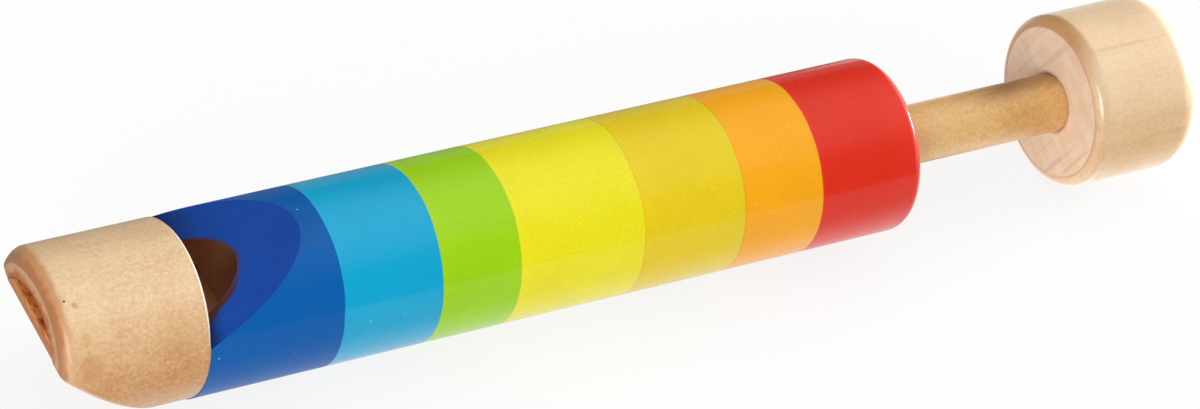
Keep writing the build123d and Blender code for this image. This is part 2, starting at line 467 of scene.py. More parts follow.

# %% [markdown]
# ## The painted barrel
# Seven bands are brushed on one tube and lacquered together. They could be seven rings, each with its own
# material, but they are paint on one skin, so they are worked out from the distance along the barrel: at
# each edge the colour changes to the next. The lemon coat shows through the end of the gold, and the gold
# and the orange start with a thicker line. The ramp was painted with a brush and gets less lacquer, so it
# is deeper and duller than the navy band round it. Along the joint it gets a painted shadow of the
# mouthpiece, which reaches further on the far side. Its paint stops just short of the bore and leaves a bare
# edge, which is wider on the near side and painted in the dark brown of the shaded bore, so it is partly
# bare wood and partly painted shade.

# %% The band paint
BAND_EDGES = (23.9, 41.9, 56.4, 79.9, 99.4, 114.7)
BAND_COLOURS = {
    "navy": colour(0, 92, 170),
    "sky": colour(4, 166, 210),
    "leaf": colour(160, 213, 12),
    "lemon": colour(240, 229, 26),
    "gold": colour(236, 206, 24),
    "orange": colour(253, 173, 16),
    "red": colour(226, 44, 20),
}
LEMON_BELOW = colour(222, 212, 36)
OVERLAPS = {"orange": 0.22}
LINE_COLOUR = colour(214, 120, 20)
LINES = {"sky": 0.0, "leaf": 0.04, "lemon": 0.05, "gold": 0.22, "orange": 0.28, "red": 0.08}
band_paint, tree, shader = new_material("band_paint")
place = object_place(tree)
along = (split(tree, place)[0] - FRONT_X) / MM
film = use_group(tree, lacquer, Place=place)
band_names = list(BAND_COLOURS)
paint = BAND_COLOURS[band_names[0]]
relief = Field(tree, film["Height"])
for band_edge, name in zip(BAND_EDGES, band_names[1:]):
    edge = use_group(tree, paint_edge, Place=place, Along=along, Edge=band_edge)
    ridge = Field(tree, edge["Ridge"])
    if name in OVERLAPS:
        paint = mixed(tree, Field(tree, edge["Overlap"]) * OVERLAPS[name], paint, LEMON_BELOW)
    paint = mixed(tree, edge["Past"], paint, BAND_COLOURS[name])
    paint = mixed(tree, ridge * LINES[name], paint, LINE_COLOUR)
    relief = relief + ridge * 0.5
pigment = noise(tree, place, 2400.0)
cloud = noise(tree, place, 130.0, detail=4.0)
shade = (pigment - 0.5) * 0.22 + (cloud - 0.5) * 0.12
dust = dots(tree, stretched(tree, place, 300, 420, 420), size=0.055, share=0.5) * cloud.rise(0.45, 0.6)
paint = scaled(tree, paint, shade + 1.0)
paint = mixed(tree, Field(tree, film["Specks"]) * 0.45 + dust * 0.5, paint, colour(250, 250, 240))
behind_navy = along.rise(BAND_EDGES[0] - 0.2, BAND_EDGES[0] + 0.2)
plug(tree, shader.inputs["Base Color"], paint)
shader.inputs["Roughness"].default_value = 0.5
shader.inputs["Specular IOR Level"].default_value = 0.1
plug(tree, shader.inputs["Coat Weight"], behind_navy * 0.45 + 0.2)
shader.inputs["Coat Roughness"].default_value = 0.12
bumped(tree, shader, relief, 0.03 * MM)
print("bands:", ", ".join(band_names))

# %% The ramp's paint
BARE_EDGE_R = BORE_R / MM + 0.2


def from_axis(y, z):
    """The distance from the barrel's axis, in millimetres."""
    return (y * y + z * z).do("SQRT") / MM


ramp_paint, tree, shader = new_material("ramp_paint")
place = object_place(tree)
film = use_group(tree, lacquer, Place=place, Roughest=0.45)
x, y, z = split(tree, place)
from_joint = (x - FRONT_X) / MM
strokes = noise(tree, stretched(tree, place, 90, 500, 90), detail=3.0)
paint = mixed(tree, strokes.rise(0.3, 0.75) * 0.3, colour(20, 70, 160), colour(30, 82, 170))
# Painted shadow of the mouthpiece on the ramp: dark navy near the joint, reaching further on the far side.
shadow_reach = (y / MM).rise(-2.0, 10.0) * 4.0 + 3.6
thickness_and_shadow = from_joint.rise(shadow_reach, 0.0)
paint = mixed(tree, thickness_and_shadow * 0.85, paint, colour(10, 24, 66))
near_side = (y / MM).rise(-3.0, -7.0)
spread = from_joint.rise(4.0, 1.5) * 0.6 + 0.6
bare_to = near_side * spread + BARE_EDGE_R
# The bare edge is painted in the dark brown of the shaded bore: partly bare wood, partly painted shade.
bare_and_shade = (bare_to + (strokes - 0.5) * 0.5 - from_axis(y, z)).rise(-0.1, 0.1)
paint = mixed(tree, bare_and_shade * (near_side * 0.35 + 0.6), paint, colour(76, 40, 22))
paint = mixed(tree, Field(tree, film["Specks"]) * 0.3, paint, colour(120, 160, 215))
plug(tree, shader.inputs["Base Color"], paint)
plug(tree, shader.inputs["Roughness"], film["Roughness"])
shader.inputs["Specular IOR Level"].default_value = 0.1
bumped(tree, shader, Field(tree, film["Height"]) + strokes * 0.5, 0.03 * MM)
tell("ramp paint", tree)

# %% The wood inside the bore
bore_wood, tree, shader = new_material("bore_wood")
place = object_place(tree)
wood = use_group(
    tree,
    maple,
    Place=place,
    Pale=colour(248, 196, 150),
    Deep=colour(224, 160, 112),
    Fleck_colour=colour(90, 50, 30),
    Heart=0.4,
)
plug(tree, shader.inputs["Base Color"], wood["Color"])
shader.inputs["Roughness"].default_value = 0.75
shader.inputs["Specular IOR Level"].default_value = 0.2
bumped(tree, shader, wood["Height"], 0.08 * MM)
tell("bore wood", tree)

# %% [markdown]
# ## The bare maple pieces
# The mouthpiece and the knob are the same pale maple under a thin clear coat. The coat soaks into end grain
# and collects on rounded edges, so the mouthpiece's rim and the knob's near round are darker and more golden
# than the sides. On the knob that golden tone is kept to the round's far side, so it is partly painted
# shade.
# Both pieces are also painted deeper below and paler on top, which is painted shade and not the wood. Such
# places could be painted on point by point. Here they are found from the distance to the tip and to the
# axis, as a turner would mark them, so they follow the form. Only four marks on the mouthpiece's side have a
# set place.

# %% The mouthpiece's side and rim
def spot(tree, place, ragged, centre, size):
    """A soft mark with an uneven edge round a point, in millimetres."""
    away = tree.nodes.new("ShaderNodeVectorMath")
    away.operation = "DISTANCE"
    plug(tree, away.inputs[0], place)
    away.inputs[1].default_value = [part * MM for part in centre]
    distance = Field(tree, away.outputs["Value"]) + ragged * (size * MM)
    return distance.rise(size * MM, size * 0.35 * MM)


mouth_maple, tree, shader = new_material("mouth_maple")
place = object_place(tree)
x, y, z = split(tree, place)
sanded_tip = (y - LEAN_FROM).do("SMOOTH_MAX", 0.0, LEAN_BLEND) * TIP_LEAN
saw_cut = (z * -1.0 + BEAK_TOP) / BEAK_SLOPE
behind_end = (x - TIP_X - saw_cut.do("MAXIMUM", sanded_tip)) / MM
ragged = noise(tree, place, 500.0, detail=4.0) - 0.5
blotch = noise(tree, place, 170.0, detail=3.0) - 0.5
film = use_group(tree, lacquer, Place=place, Roughest=0.4)
wood = use_group(
    tree,
    maple,
    Place=place,
    Pale=colour(238, 206, 163),
    Deep=colour(197, 135, 71),
    Fleck_colour=colour(150, 96, 58),
    # Deeper towards the bottom and paler on top: painted shade, not a change in the wood.
    Heart=(z / MM + blotch * 5.0).rise(14.5, 2.0) * 0.72 + 0.14,
)
rim = (behind_end + ragged).rise(2.2, 1.2)
soaked = rim * (behind_end + ragged * 1.3).rise(1.0, 0.2)
lower_rim = (z / MM + ragged * 4.0).rise(12.5, 7.0)
rim_colour = mixed(tree, lower_rim, colour(210, 148, 94), colour(222, 168, 122))
wood_colour = mixed(tree, rim * 0.9, wood["Color"], rim_colour)
wood_colour = mixed(tree, soaked * 0.7, wood_colour, colour(172, 100, 54))
marks = (
    (ragged, (-89.0, -10.3, 10.7), 1.5, 0.35, colour(206, 148, 78)),
    (blotch, (-88.6, -13.3, 6.6), 3.0, 0.4, colour(190, 126, 68)),
    (ragged, (-89.4, -5.62, 13.74), 0.75, 0.6, colour(190, 118, 62)),
    (ragged, (-90.8, -4.66, 14.1), 0.26, 1.0, colour(52, 36, 28)),
)
for unevenness, centre, size, strength, shade in marks:
    mark = spot(tree, place, unevenness, centre, size) * strength
    wood_colour = mixed(tree, mark, wood_colour, shade)
plug(tree, shader.inputs["Base Color"], wood_colour)
plug(tree, shader.inputs["Roughness"], film["Roughness"])
shader.inputs["Coat Weight"].default_value = 0.35
shader.inputs["Coat Roughness"].default_value = 0.2
relief = Field(tree, wood["Height"]) + Field(tree, film["Height"]) * 0.5 + ragged * rim
bumped(tree, shader, relief, 0.03 * MM)
tell("mouthpiece maple", tree)

# %% The mouthpiece's end grain
mouth_end, tree, shader = new_material("mouth_end_grain")
place = object_place(tree)
_, y, z = split(tree, place)
radius = from_axis(y, z)
ragged = noise(tree, stretched(tree, place, 400, 900, 500), detail=5.0) - 0.5
pores = noise(tree, place, 2600.0)
rings = noise(tree, stretched(tree, place, 60, 160, 900), detail=3.0)
grain = mixed(tree, rings.rise(0.3, 0.7) * 0.6, colour(222, 174, 130), colour(194, 142, 100))
grain = mixed(tree, pores.rise(0.55, 0.8) * 0.5, grain, colour(136, 82, 46))
soaked = (radius + ragged * 3.2).rise(11.9, 10.4) * (z / MM).rise(2.0, 7.0)
grain = mixed(tree, soaked * 0.9, grain, colour(182, 100, 36))
outer_ring = (radius + ragged * 1.5).rise(12.3, 13.1)
grain = mixed(tree, outer_ring * 0.6, grain, colour(164, 98, 50))
plug(tree, shader.inputs["Base Color"], grain)
shader.inputs["Roughness"].default_value = 0.5
shader.inputs["Coat Weight"].default_value = 0.15
shader.inputs["Coat Roughness"].default_value = 0.3
bumped(tree, shader, pores + ragged * 0.8, 0.06 * MM)
tell("mouthpiece end grain", tree)

# %% The windway's wood
windway_wood, tree, shader = new_material("windway_wood")
place = object_place(tree)
ragged = noise(tree, stretched(tree, place, 300, 1500, 1500), detail=4.0)
streaks = mixed(tree, ragged.rise(0.35, 0.7), colour(236, 160, 82), colour(206, 120, 48))
plug(tree, shader.inputs["Base Color"], streaks)
shader.inputs["Roughness"].default_value = 0.65
shader.inputs["Specular IOR Level"].default_value = 0.3
bumped(tree, shader, ragged, 0.08 * MM)
tell("windway wood", tree)

# %% The mouthpiece's sanded joint edge, with a painted highlight
joint_edge_and_highlight, tree, shader = new_material("joint_edge_and_highlight")
place = object_place(tree)
wood = use_group(
    tree,
    maple,
    Place=place,
    # Near white: the pale sanded wood and a painted highlight together.
    Pale=colour(255, 246, 226),
    Deep=colour(250, 230, 198),
    Fleck_colour=colour(150, 100, 70),
    Heart=0.3,
)
plug(tree, shader.inputs["Base Color"], wood["Color"])
shader.inputs["Roughness"].default_value = 0.45
shader.inputs["Coat Weight"].default_value = 0.3
bumped(tree, shader, wood["Height"], 0.03 * MM)
tell("joint edge", tree)

# %% The knob's side and rounds
# A line across the knob that climbs by 20 degrees to its far side. The end grain's rays are square to it.
ACROSS_Y = 0.94
ACROSS_Z = 0.34
knob_maple, tree, shader = new_material("knob_maple")
place = object_place(tree)
x, y, z = split(tree, place)
along = (x - KNOB_X) / MM
film = use_group(tree, lacquer, Place=place, Roughest=0.36)
blotch = noise(tree, stretched(tree, place, 60, 180, 180), detail=3.0) - 0.5
wood = use_group(
    tree,
    maple,
    Place=place,
    Pale=colour(246, 216, 178),
    Deep=colour(226, 178, 118),
    Fleck_colour=colour(186, 130, 84),
    # Deeper towards the bottom and paler on top: painted shade, not a change in the wood.
    Heart=(z / MM + blotch * 9.0).rise(14.5, 3.0) * 0.6 + 0.1,
)
streaks = noise(tree, stretched(tree, place, 26, 520, 520), detail=4.0)
wood_colour = mixed(tree, streaks.rise(0.58, 0.75) * 0.3, wood["Color"], colour(206, 156, 98))
far_side = (y * ACROSS_Y + z * ACROSS_Z) / MM
# The near round's golden tone, kept to its far side: partly the lacquer's colour, partly painted shade.
golden = along.rise(2.6, 1.4) * (far_side + blotch * 8.0).rise(-4.0, 7.0) * 0.85
wood_colour = mixed(tree, golden, wood_colour, colour(208, 150, 86))
plug(tree, shader.inputs["Base Color"], wood_colour)
plug(tree, shader.inputs["Roughness"], film["Roughness"])
plug(tree, shader.inputs["Coat Weight"], along.rise(2.6, 1.8) * 0.75 + 0.25)
shader.inputs["Coat Roughness"].default_value = 0.16
bumped(tree, shader, Field(tree, wood["Height"]) + Field(tree, film["Height"]) * 0.5, 0.03 * MM)
tell("knob maple", tree)

# %% The knob's end grain
SCRIBED_R = 13.3
knob_end_grain, tree, shader = new_material("knob_end_grain")
place = object_place(tree)
x, y, z = split(tree, place)
radius = from_axis(y, z)
across_rays = y * ACROSS_Y + z * ACROSS_Z
along_rays = y * -ACROSS_Z + z * ACROSS_Y
rays = noise(tree, join(tree, x * 40, across_rays * 900, along_rays * 70), detail=4.0)
years = noise(tree, join(tree, x * 40, across_rays * 150, along_rays * 420))
pores = noise(tree, place, 2600.0)
grain = mixed(tree, years.rise(0.35, 0.7) * 0.6, colour(250, 227, 198), colour(238, 203, 168))
grain = mixed(tree, rays.rise(0.5, 0.75) * 0.5, grain, colour(220, 172, 134))
grain = mixed(tree, pores.rise(0.6, 0.85) * 0.4, grain, colour(190, 132, 96))
seam = (radius + (pores - 0.5) * 0.6).rise(5.9, 5.3)
grain = mixed(tree, seam * 0.5, grain, colour(168, 88, 56))
scribed = (radius - SCRIBED_R).do("ABSOLUTE").rise(0.2, 0.03) * ((z - y) / MM).rise(-14.0, 6.0)
grain = mixed(tree, scribed * 0.6, grain, colour(178, 116, 72))
plug(tree, shader.inputs["Base Color"], grain)
shader.inputs["Roughness"].default_value = 0.5
shader.inputs["Coat Weight"].default_value = 0.2
shader.inputs["Coat Roughness"].default_value = 0.3
bumped(tree, shader, pores * 0.5 + rays * 0.5, 0.04 * MM)
tell("knob end grain", tree)

# %% [markdown]
# ## The small pieces' finishes
# The rod is a dowel of a more golden wood, deeper in tone towards the knob, with a painted shadow of the
# knob on its upper side next to it. The block, the bush and the piston's head are raw turned wood. The
# washer and the screw are plated steel, turned and then tumbled, with fine rings round the axis. The felt is
# pressed wool. Apart from the felt these could be turned again too, but their solids already have the right
# shape, so they only get a finish.

# %% The rod's wood
dowel, tree, shader = new_material("dowel_wood")
place = object_place(tree)
x, y, z = split(tree, place)
film = use_group(tree, lacquer, Place=place, Roughest=0.38)
blotch = noise(tree, stretched(tree, place, 70, 200, 200), detail=3.0) - 0.5
# Deeper in tone towards the knob.
toward_knob = (x / MM + blotch * 14.0).rise(74.0, 98.0)
wood = use_group(
    tree,
    maple,
    Place=place,
    Pale=colour(254, 216, 150),
    Deep=colour(216, 154, 78),
    Fleck_colour=colour(150, 96, 50),
    Heart=toward_knob * 0.4 + 0.25,
)
# A painted shadow of the knob on the rod's upper side, next to the knob.
upper_side = ((y * 0.81 + z * 0.59) / MM + blotch * 3.0).rise(1.5, 5.0)
stain_and_shadow = upper_side * (x / MM + blotch * 16.0).rise(80.0, 96.0) * 0.75
plug(tree, shader.inputs["Base Color"], mixed(tree, stain_and_shadow, wood["Color"], colour(138, 88, 50)))
plug(tree, shader.inputs["Roughness"], film["Roughness"])
shader.inputs["Coat Weight"].default_value = 0.3
shader.inputs["Coat Roughness"].default_value = 0.25
bumped(tree, shader, Field(tree, wood["Height"]) + Field(tree, film["Height"]) * 0.4, 0.03 * MM)
tell("dowel wood", tree)

# %% The raw wood of block, bush and piston head
raw_wood, tree, shader = new_material("raw_wood")
place = object_place(tree)
x, _, z = split(tree, place)
wood = use_group(
    tree,
    maple,
    Place=place,
    Pale=colour(214, 164, 112),
    Deep=colour(176, 122, 74),
    Fleck_colour=colour(80, 46, 24),
    Heart=0.4,
)
ragged = noise(tree, stretched(tree, place, 500, 900, 500), detail=5.0) - 0.5
soaked = ((x - TIP_X) / MM + ragged * 4.0).rise(6.0, 1.0)
torn = noise(tree, stretched(tree, place, 900, 500, 1400), detail=4.0)
wet = mixed(tree, torn.rise(0.42, 0.62), colour(224, 142, 70), colour(178, 92, 34))
wet = mixed(tree, torn.rise(0.62, 0.72) * 0.8, wet, colour(96, 48, 22))
wet = mixed(tree, (z / MM + ragged * 1.5).rise(7.2, 6.2), wet, colour(186, 126, 86))
wood_colour = mixed(tree, soaked * 0.9, wood["Color"], wet)
# Painted shade: the block is darker where it is seen through the window.
window_shade = ((x - FRONT_X) / MM).rise(-6.0, -1.0) * (x / MM).rise(-50.0, -54.0)
wood_colour = mixed(tree, window_shade * 0.5, wood_colour, colour(150, 96, 62))
plug(tree, shader.inputs["Base Color"], wood_colour)
shader.inputs["Roughness"].default_value = 0.65
shader.inputs["Specular IOR Level"].default_value = 0.3
bumped(tree, shader, Field(tree, wood["Height"]) + ragged * 0.4, 0.06 * MM)
tell("raw wood", tree)

# %% The steel of washer and screw
plated_steel, tree, shader = new_material("plated_steel")
place = object_place(tree)
x, y, z = split(tree, place)
rings = noise(tree, join(tree, from_axis(y, z) * 9, x * 9000, 0.0), detail=3.0)
stain_and_shadow = noise(tree, place, 500.0, detail=4.0)
metal = mixed(tree, stain_and_shadow.rise(0.4, 0.75) * 0.6, colour(205, 206, 208), colour(160, 160, 158))
plug(tree, shader.inputs["Base Color"], metal)
shader.inputs["Metallic"].default_value = 1.0
plug(tree, shader.inputs["Roughness"], rings * 0.2 + stain_and_shadow * 0.2 + 0.15)
bumped(tree, shader, rings, 0.02 * MM)
tell("plated steel", tree)

# %% The felt's wool
wool, tree, shader = new_material("wool_felt")
place = object_place(tree)
tangle = noise(tree, place, 2200.0, detail=4.0, roughness=0.7)
tuft = noise(tree, place, 420.0, detail=3.0)
shade = mixed(tree, tangle.rise(0.3, 0.7), colour(206, 202, 190), colour(236, 233, 224))
shade = mixed(tree, tuft.rise(0.5, 0.8) * 0.4, shade, colour(178, 170, 156))
plug(tree, shader.inputs["Base Color"], shade)
shader.inputs["Roughness"].default_value = 0.95
shader.inputs["Specular IOR Level"].default_value = 0.1
shader.inputs["Sheen Weight"].default_value = 0.4
bumped(tree, shader, tangle + tuft, 0.15 * MM)
tell("wool felt", tree)

# %% Dress the CAD nodes that stay
DRESSED = {
    "plunger_rod": dowel,
    "fipple_block": raw_wood,
    "end_bush": raw_wood,
    "piston_head": raw_wood,
    "piston_washer": plated_steel,
    "piston_screw": plated_steel,
}
for name, finish in DRESSED.items():
    for material_slot in nodes[name].material_slots:
        material_slot.material = finish
print("dressed", len(DRESSED), "CAD nodes")

# %% [markdown]
# ## Turned pieces from rolled walls
# Barrel, mouthpiece and knob were turned on a lathe, and the first two were then cut. Each is made here as
# a set of walls: a wall is a flat grid rolled round the axis, and a formula says how far along and how far
# out each point goes. Where a slanted cut such as the ramp ends a wall, the formula follows the cut, so
# neighbouring walls meet point for point and close into one skin. A spun profile and a Boolean would give
# nearly the same form, but with a ragged edge along the cut.

# %% Roll a wall
COLUMNS = 320


def new_tree(name, sizes):
    """A Geometry Nodes tree with a named input for each size, and those inputs as fields."""
    tree = bpy.data.node_groups.new(name, "GeometryNodeTree")
    tree.interface.new_socket("Geometry", in_out="OUTPUT", socket_type="NodeSocketGeometry")
    for label in sizes:
        tree.interface.new_socket(label, in_out="INPUT", socket_type=FLOAT)
    given = tree.nodes.new("NodeGroupInput").outputs
    return tree, [Field(tree, given[label]) for label in sizes]


def roll(tree):
    """The angle from straight up and the step from 0 to 1 that each point of a flat grid stands for."""
    across, up, _ = split(tree, tree.nodes.new("GeometryNodeInputPosition").outputs[0])
    return (across + 0.5) * (2 * math.pi), up + 0.5


def wall(tree, rows, along, radius):
    """A flat grid of so many rows, rolled round the axis."""
    grid = tree.nodes.new("GeometryNodeMeshGrid")
    grid.inputs["Vertices X"].default_value = COLUMNS + 1
    grid.inputs["Vertices Y"].default_value = rows + 1
    turn, _ = roll(tree)
    rolled = tree.nodes.new("GeometryNodeSetPosition")
    tree.links.new(grid.outputs["Mesh"], rolled.inputs["Geometry"])
    place = join(tree, along, turn.do("SINE") * radius, turn.do("COSINE") * radius)
    tree.links.new(place, rolled.inputs["Position"])
    return rolled.outputs["Geometry"]


print("walls have", COLUMNS, "columns")

# %% Close walls into one skin
WELD = 0.002 * MM


def numbered(tree, walls):
    """Joins walls, each with its number kept on its faces."""
    joined = tree.nodes.new("GeometryNodeJoinGeometry")
    for number, made in enumerate(walls):
        kept = tree.nodes.new("GeometryNodeStoreNamedAttribute")
        kept.data_type = "INT"
        kept.domain = "FACE"
        kept.inputs["Name"].default_value = "wall"
        kept.inputs["Value"].default_value = number
        tree.links.new(made, kept.inputs["Geometry"])
        tree.links.new(kept.outputs["Geometry"], joined.inputs[0])
    return joined.outputs[0]


def welded(tree, shell, sharp):
    """A shell with its seams welded, smooth but for edges sharper than an angle in degrees."""
    weld = tree.nodes.new("GeometryNodeMergeByDistance")
    weld.inputs["Distance"].default_value = WELD
    tree.links.new(shell, weld.inputs["Geometry"])
    smooth = tree.nodes.new("GeometryNodeSetShadeSmooth")
    smooth.domain = "FACE"
    tree.links.new(weld.outputs[0], smooth.inputs["Geometry"])
    corner = tree.nodes.new("GeometryNodeInputMeshEdgeAngle")
    crisp = tree.nodes.new("GeometryNodeSetShadeSmooth")
    crisp.domain = "EDGE"
    crisp.inputs["Shade Smooth"].default_value = False
    is_sharp = Field(tree, corner.outputs["Unsigned Angle"]).do("GREATER_THAN", math.radians(sharp))
    plug(tree, crisp.inputs["Selection"], is_sharp)
    tree.links.new(smooth.outputs[0], crisp.inputs["Geometry"])
    return crisp.outputs[0]


def close(tree, finishes_and_walls, sharp=32, nap=None):
    """Welds walls into one skin, adds a nap if asked, and gives each wall its finish."""
    skin = welded(tree, numbered(tree, [made for _, made in finishes_and_walls]), sharp)
    whole = tree.nodes.new("GeometryNodeJoinGeometry")
    if nap:
        tree.links.new(nap(tree, skin), whole.inputs[0])
    tree.links.new(skin, whole.inputs[0])
    realized = tree.nodes.new("GeometryNodeRealizeInstances")
    tree.links.new(whole.outputs[0], realized.inputs[0])
    wall_number = tree.nodes.new("GeometryNodeInputNamedAttribute")
    wall_number.data_type = "INT"
    wall_number.inputs["Name"].default_value = "wall"
    last = realized.outputs[0]
    for number, (finish, _) in enumerate(finishes_and_walls):
        coated = tree.nodes.new("GeometryNodeSetMaterial")
        coated.inputs["Material"].default_value = finish
        chosen = Field(tree, wall_number.outputs["Attribute"]).do("COMPARE", number, 0.5)
        plug(tree, coated.inputs["Selection"], chosen)
        tree.links.new(last, coated.inputs["Geometry"])
        last = coated.outputs[0]
    tree.links.new(last, tree.nodes.new("NodeGroupOutput").inputs[0])


print(f"seams weld within {WELD / MM:.3f} mm")

# %% Keep a tree's result as a plain mesh
CUBIC_CM = 1e-6


def bake(name, tree, values):
    """Runs a tree with its sizes set and keeps the result as a plain mesh that faces outwards."""
    piece = placed(name, bpy.data.meshes.new(name))
    modifier = piece.modifiers.new("tree", "NODES")
    modifier.node_group = tree
    for item in tree.interface.items_tree:
        if item.in_out == "INPUT":
            modifier[item.identifier] = values[item.name]
    evaluated = piece.evaluated_get(bpy.context.evaluated_depsgraph_get())
    mesh = bpy.data.meshes.new_from_object(evaluated)
    piece.modifiers.clear()
    piece.data = mesh
    mesh.name = name
    form = bmesh.new()
    form.from_mesh(mesh)
    if form.calc_volume(signed=True) < 0:
        bmesh.ops.reverse_faces(form, faces=form.faces)
    open_edges = sum(1 for e in form.edges if not e.is_manifold)
    volume = form.calc_volume(signed=True) / CUBIC_CM
    form.to_mesh(mesh)
    form.free()
    print(f"{name}: {len(mesh.polygons)} faces, {open_edges} open edges, {volume:.2f} cubic cm")
    return piece


print("ready to keep trees as meshes")

# %% [markdown]
# ## The barrel
# A drilled tube with one rounded end. The window is a slanted saw cut at the front: the cut's floor is the
# ramp, and where it breaks into the bore its edge is the lip that the air splits on. A Boolean tends to
# leave slivers along so thin an edge, so the ramp is a wall of its own. The walls are the skin, the round
# at the plunger's end, the end face, the bore, the flat front and the ramp.

# %% The barrel's tree
BARREL_SIZES = {
    "Front": FRONT_X,
    "Length": BARREL_L,
    "Radius": BARREL_R,
    "Bore": BORE_R,
    "End round": END_ROUND,
    "Window": WINDOW_L,
    "Ramp slope": RAMP_SLOPE,
}
LEAST_UPWARD = 0.05
tree, fields = new_tree("barrel walls", BARREL_SIZES)
front, length, outer, bore, end_round, window, slope = fields
turn, step = roll(tree)
upward = turn.do("COSINE")


def on_ramp(distance):
    """How far along the barrel the ramp lies at a distance from the axis, or 0 where it doesn't reach."""
    return (window + (upward * distance - bore) / slope).do("MAXIMUM", 0.0)


foot = bore - window * slope
meet = (foot / upward.do("MAXIMUM", LEAST_UPWARD)).do("MAXIMUM", bore).do("MINIMUM", outer)
meet = meet * upward.do("GREATER_THAN", LEAST_UPWARD) + outer * upward.do("LESS_THAN", LEAST_UPWARD)
skin_from = on_ramp(outer)
skin_to = length - end_round
arc = step * (math.pi / 2)
round_along = front + skin_to + end_round * arc.do("SINE")
round_radius = outer - end_round + end_round * arc.do("COSINE")
face_radius = outer - end_round + (bore - outer + end_round) * step
lip = on_ramp(bore)
front_along = front + lip + (on_ramp(meet) - lip) * step
front_radius = bore + (meet - bore) * step
ramp_radius = meet + (outer - meet) * step
barrel_walls = [
    (band_paint, wall(tree, 24, front + skin_from + (skin_to - skin_from) * step, outer)),
    (band_paint, wall(tree, 8, round_along, round_radius)),
    (band_paint, wall(tree, 4, front + length, face_radius)),
    (bore_wood, wall(tree, 24, front + length + (lip - length) * step, bore)),
    (band_paint, wall(tree, 3, front_along, front_radius)),
    (ramp_paint, wall(tree, 10, front + on_ramp(ramp_radius), ramp_radius)),
]
close(tree, barrel_walls)
barrel = bake("barrel_turned", tree, BARREL_SIZES)

# %% [markdown]
# ## The mouthpiece
# A second ring of the same bore, sawn off at a slant below so that it fits between the lips. The saw cut
# meets the flat tip at an edge, and a rounded rim runs round both. The tip was sanded by hand and leans back
# at the far side. A Bevel modifier would have to find that rim on the cut mesh. Here the rim is a wall that
# starts where the skin ends, so it keeps its width all the way round.

# %% The mouthpiece's tree
MOUTH_SIZES = {
    "Tip": TIP_X,
    "Length": MOUTH_L,
    "Radius": MOUTH_R,
    "Bore": BORE_R,
    "Beak top": BEAK_TOP,
    "Beak slope": BEAK_SLOPE,
    "Rim round": 2.4 * MM,
    "Tip lean": TIP_LEAN,
    "Lean from": LEAN_FROM,
    "Joint break": 0.45 * MM,
}
BEAK_BLEND = 0.4 * MM
tree, fields = new_tree("mouthpiece walls", MOUTH_SIZES)
tip, length, outer, bore, beak_top, beak_slope, rim_round, tip_lean, lean_from, joint_break = fields
turn, step = roll(tree)
upward = turn.do("COSINE")


def on_beak(distance):
    """How far along the sanded tip or the saw cut lies at a distance from the axis, whichever is further."""
    sanded = (turn.do("SINE") * distance - lean_from).do("SMOOTH_MAX", 0.0, LEAN_BLEND) * tip_lean
    return ((beak_top - upward * distance) / beak_slope).do("SMOOTH_MAX", sanded, BEAK_BLEND)


# The joint's edge is broken in full at the window and by a tenth elsewhere.
joint_break = joint_break * (upward.rise(0.3, 0.45) * 0.9 + 0.1)
skin_from = on_beak(outer) + rim_round
skin_to = length - joint_break
arc = step * (math.pi / 2)
rim_radius = outer - rim_round + rim_round * arc.do("COSINE")
rim_along = on_beak(rim_radius) + rim_round - rim_round * arc.do("SINE")
end_radius = outer - rim_round + (bore - outer + rim_round) * step
bore_from = on_beak(bore)
break_radius = outer - joint_break + joint_break * step
mouth_walls = [
    (mouth_maple, wall(tree, 20, tip + skin_from + (skin_to - skin_from) * step, outer)),
    (mouth_maple, wall(tree, 10, tip + rim_along, rim_radius)),
    (mouth_end, wall(tree, 10, tip + on_beak(end_radius), end_radius)),
    (windway_wood, wall(tree, 16, tip + bore_from + (length - bore_from) * step, bore)),
    (joint_edge_and_highlight, wall(tree, 3, tip + length, bore + (outer - joint_break - bore) * step)),
    (joint_edge_and_highlight, wall(tree, 1, tip + length - joint_break * step, break_radius)),
]
close(tree, mouth_walls)
mouthpiece = bake("mouthpiece_turned", tree, MOUTH_SIZES)

# %% [markdown]
# ## The knob
# A short turned cylinder with a blind hole for the rod. Its near edge has the smaller round, and just
# inside that a ring parts the side's lacquered finish from the end grain of the near face. A bevelled
# cylinder would do for the form. Walls keep hole, faces, side and rounds apart, so that each can take its
# own finish.

# %% The knob's tree
KNOB_SIZES = {
    "Place": KNOB_X,
    "Length": KNOB_L,
    "Radius": KNOB_R,
    "Hole": 5.2 * MM,
    "Hole depth": 13.0 * MM,
    "Ring": 13.4 * MM,
    "Near round": 1.7 * MM,
    "Far round": 4.0 * MM,
}
tree, fields = new_tree("knob walls", KNOB_SIZES)
start, length, outer, hole, depth, ring, near, far = fields
_, step = roll(tree)
arc = step * (math.pi / 2)
side_to = length - far
near_radius = outer - near + near * arc.do("SINE")
far_radius = outer - far + far * arc.do("COSINE")
knob_walls = [
    (raw_wood, wall(tree, 4, start + depth, hole * step)),
    (raw_wood, wall(tree, 4, start + depth - depth * step, hole)),
    (knob_end_grain, wall(tree, 8, start, hole + (ring - hole) * step)),
    (knob_maple, wall(tree, 2, start, ring + (outer - near - ring) * step)),
    (knob_maple, wall(tree, 12, start + near - near * arc.do("COSINE"), near_radius)),
    (knob_maple, wall(tree, 12, start + near + (side_to - near) * step, outer)),
    (knob_maple, wall(tree, 12, start + side_to + far * arc.do("SINE"), far_radius)),
    (knob_end_grain, wall(tree, 8, start + length, (outer - far) * (step * -1.0 + 1.0))),
]
close(tree, knob_walls)
knob = bake("knob_turned", tree, KNOB_SIZES)

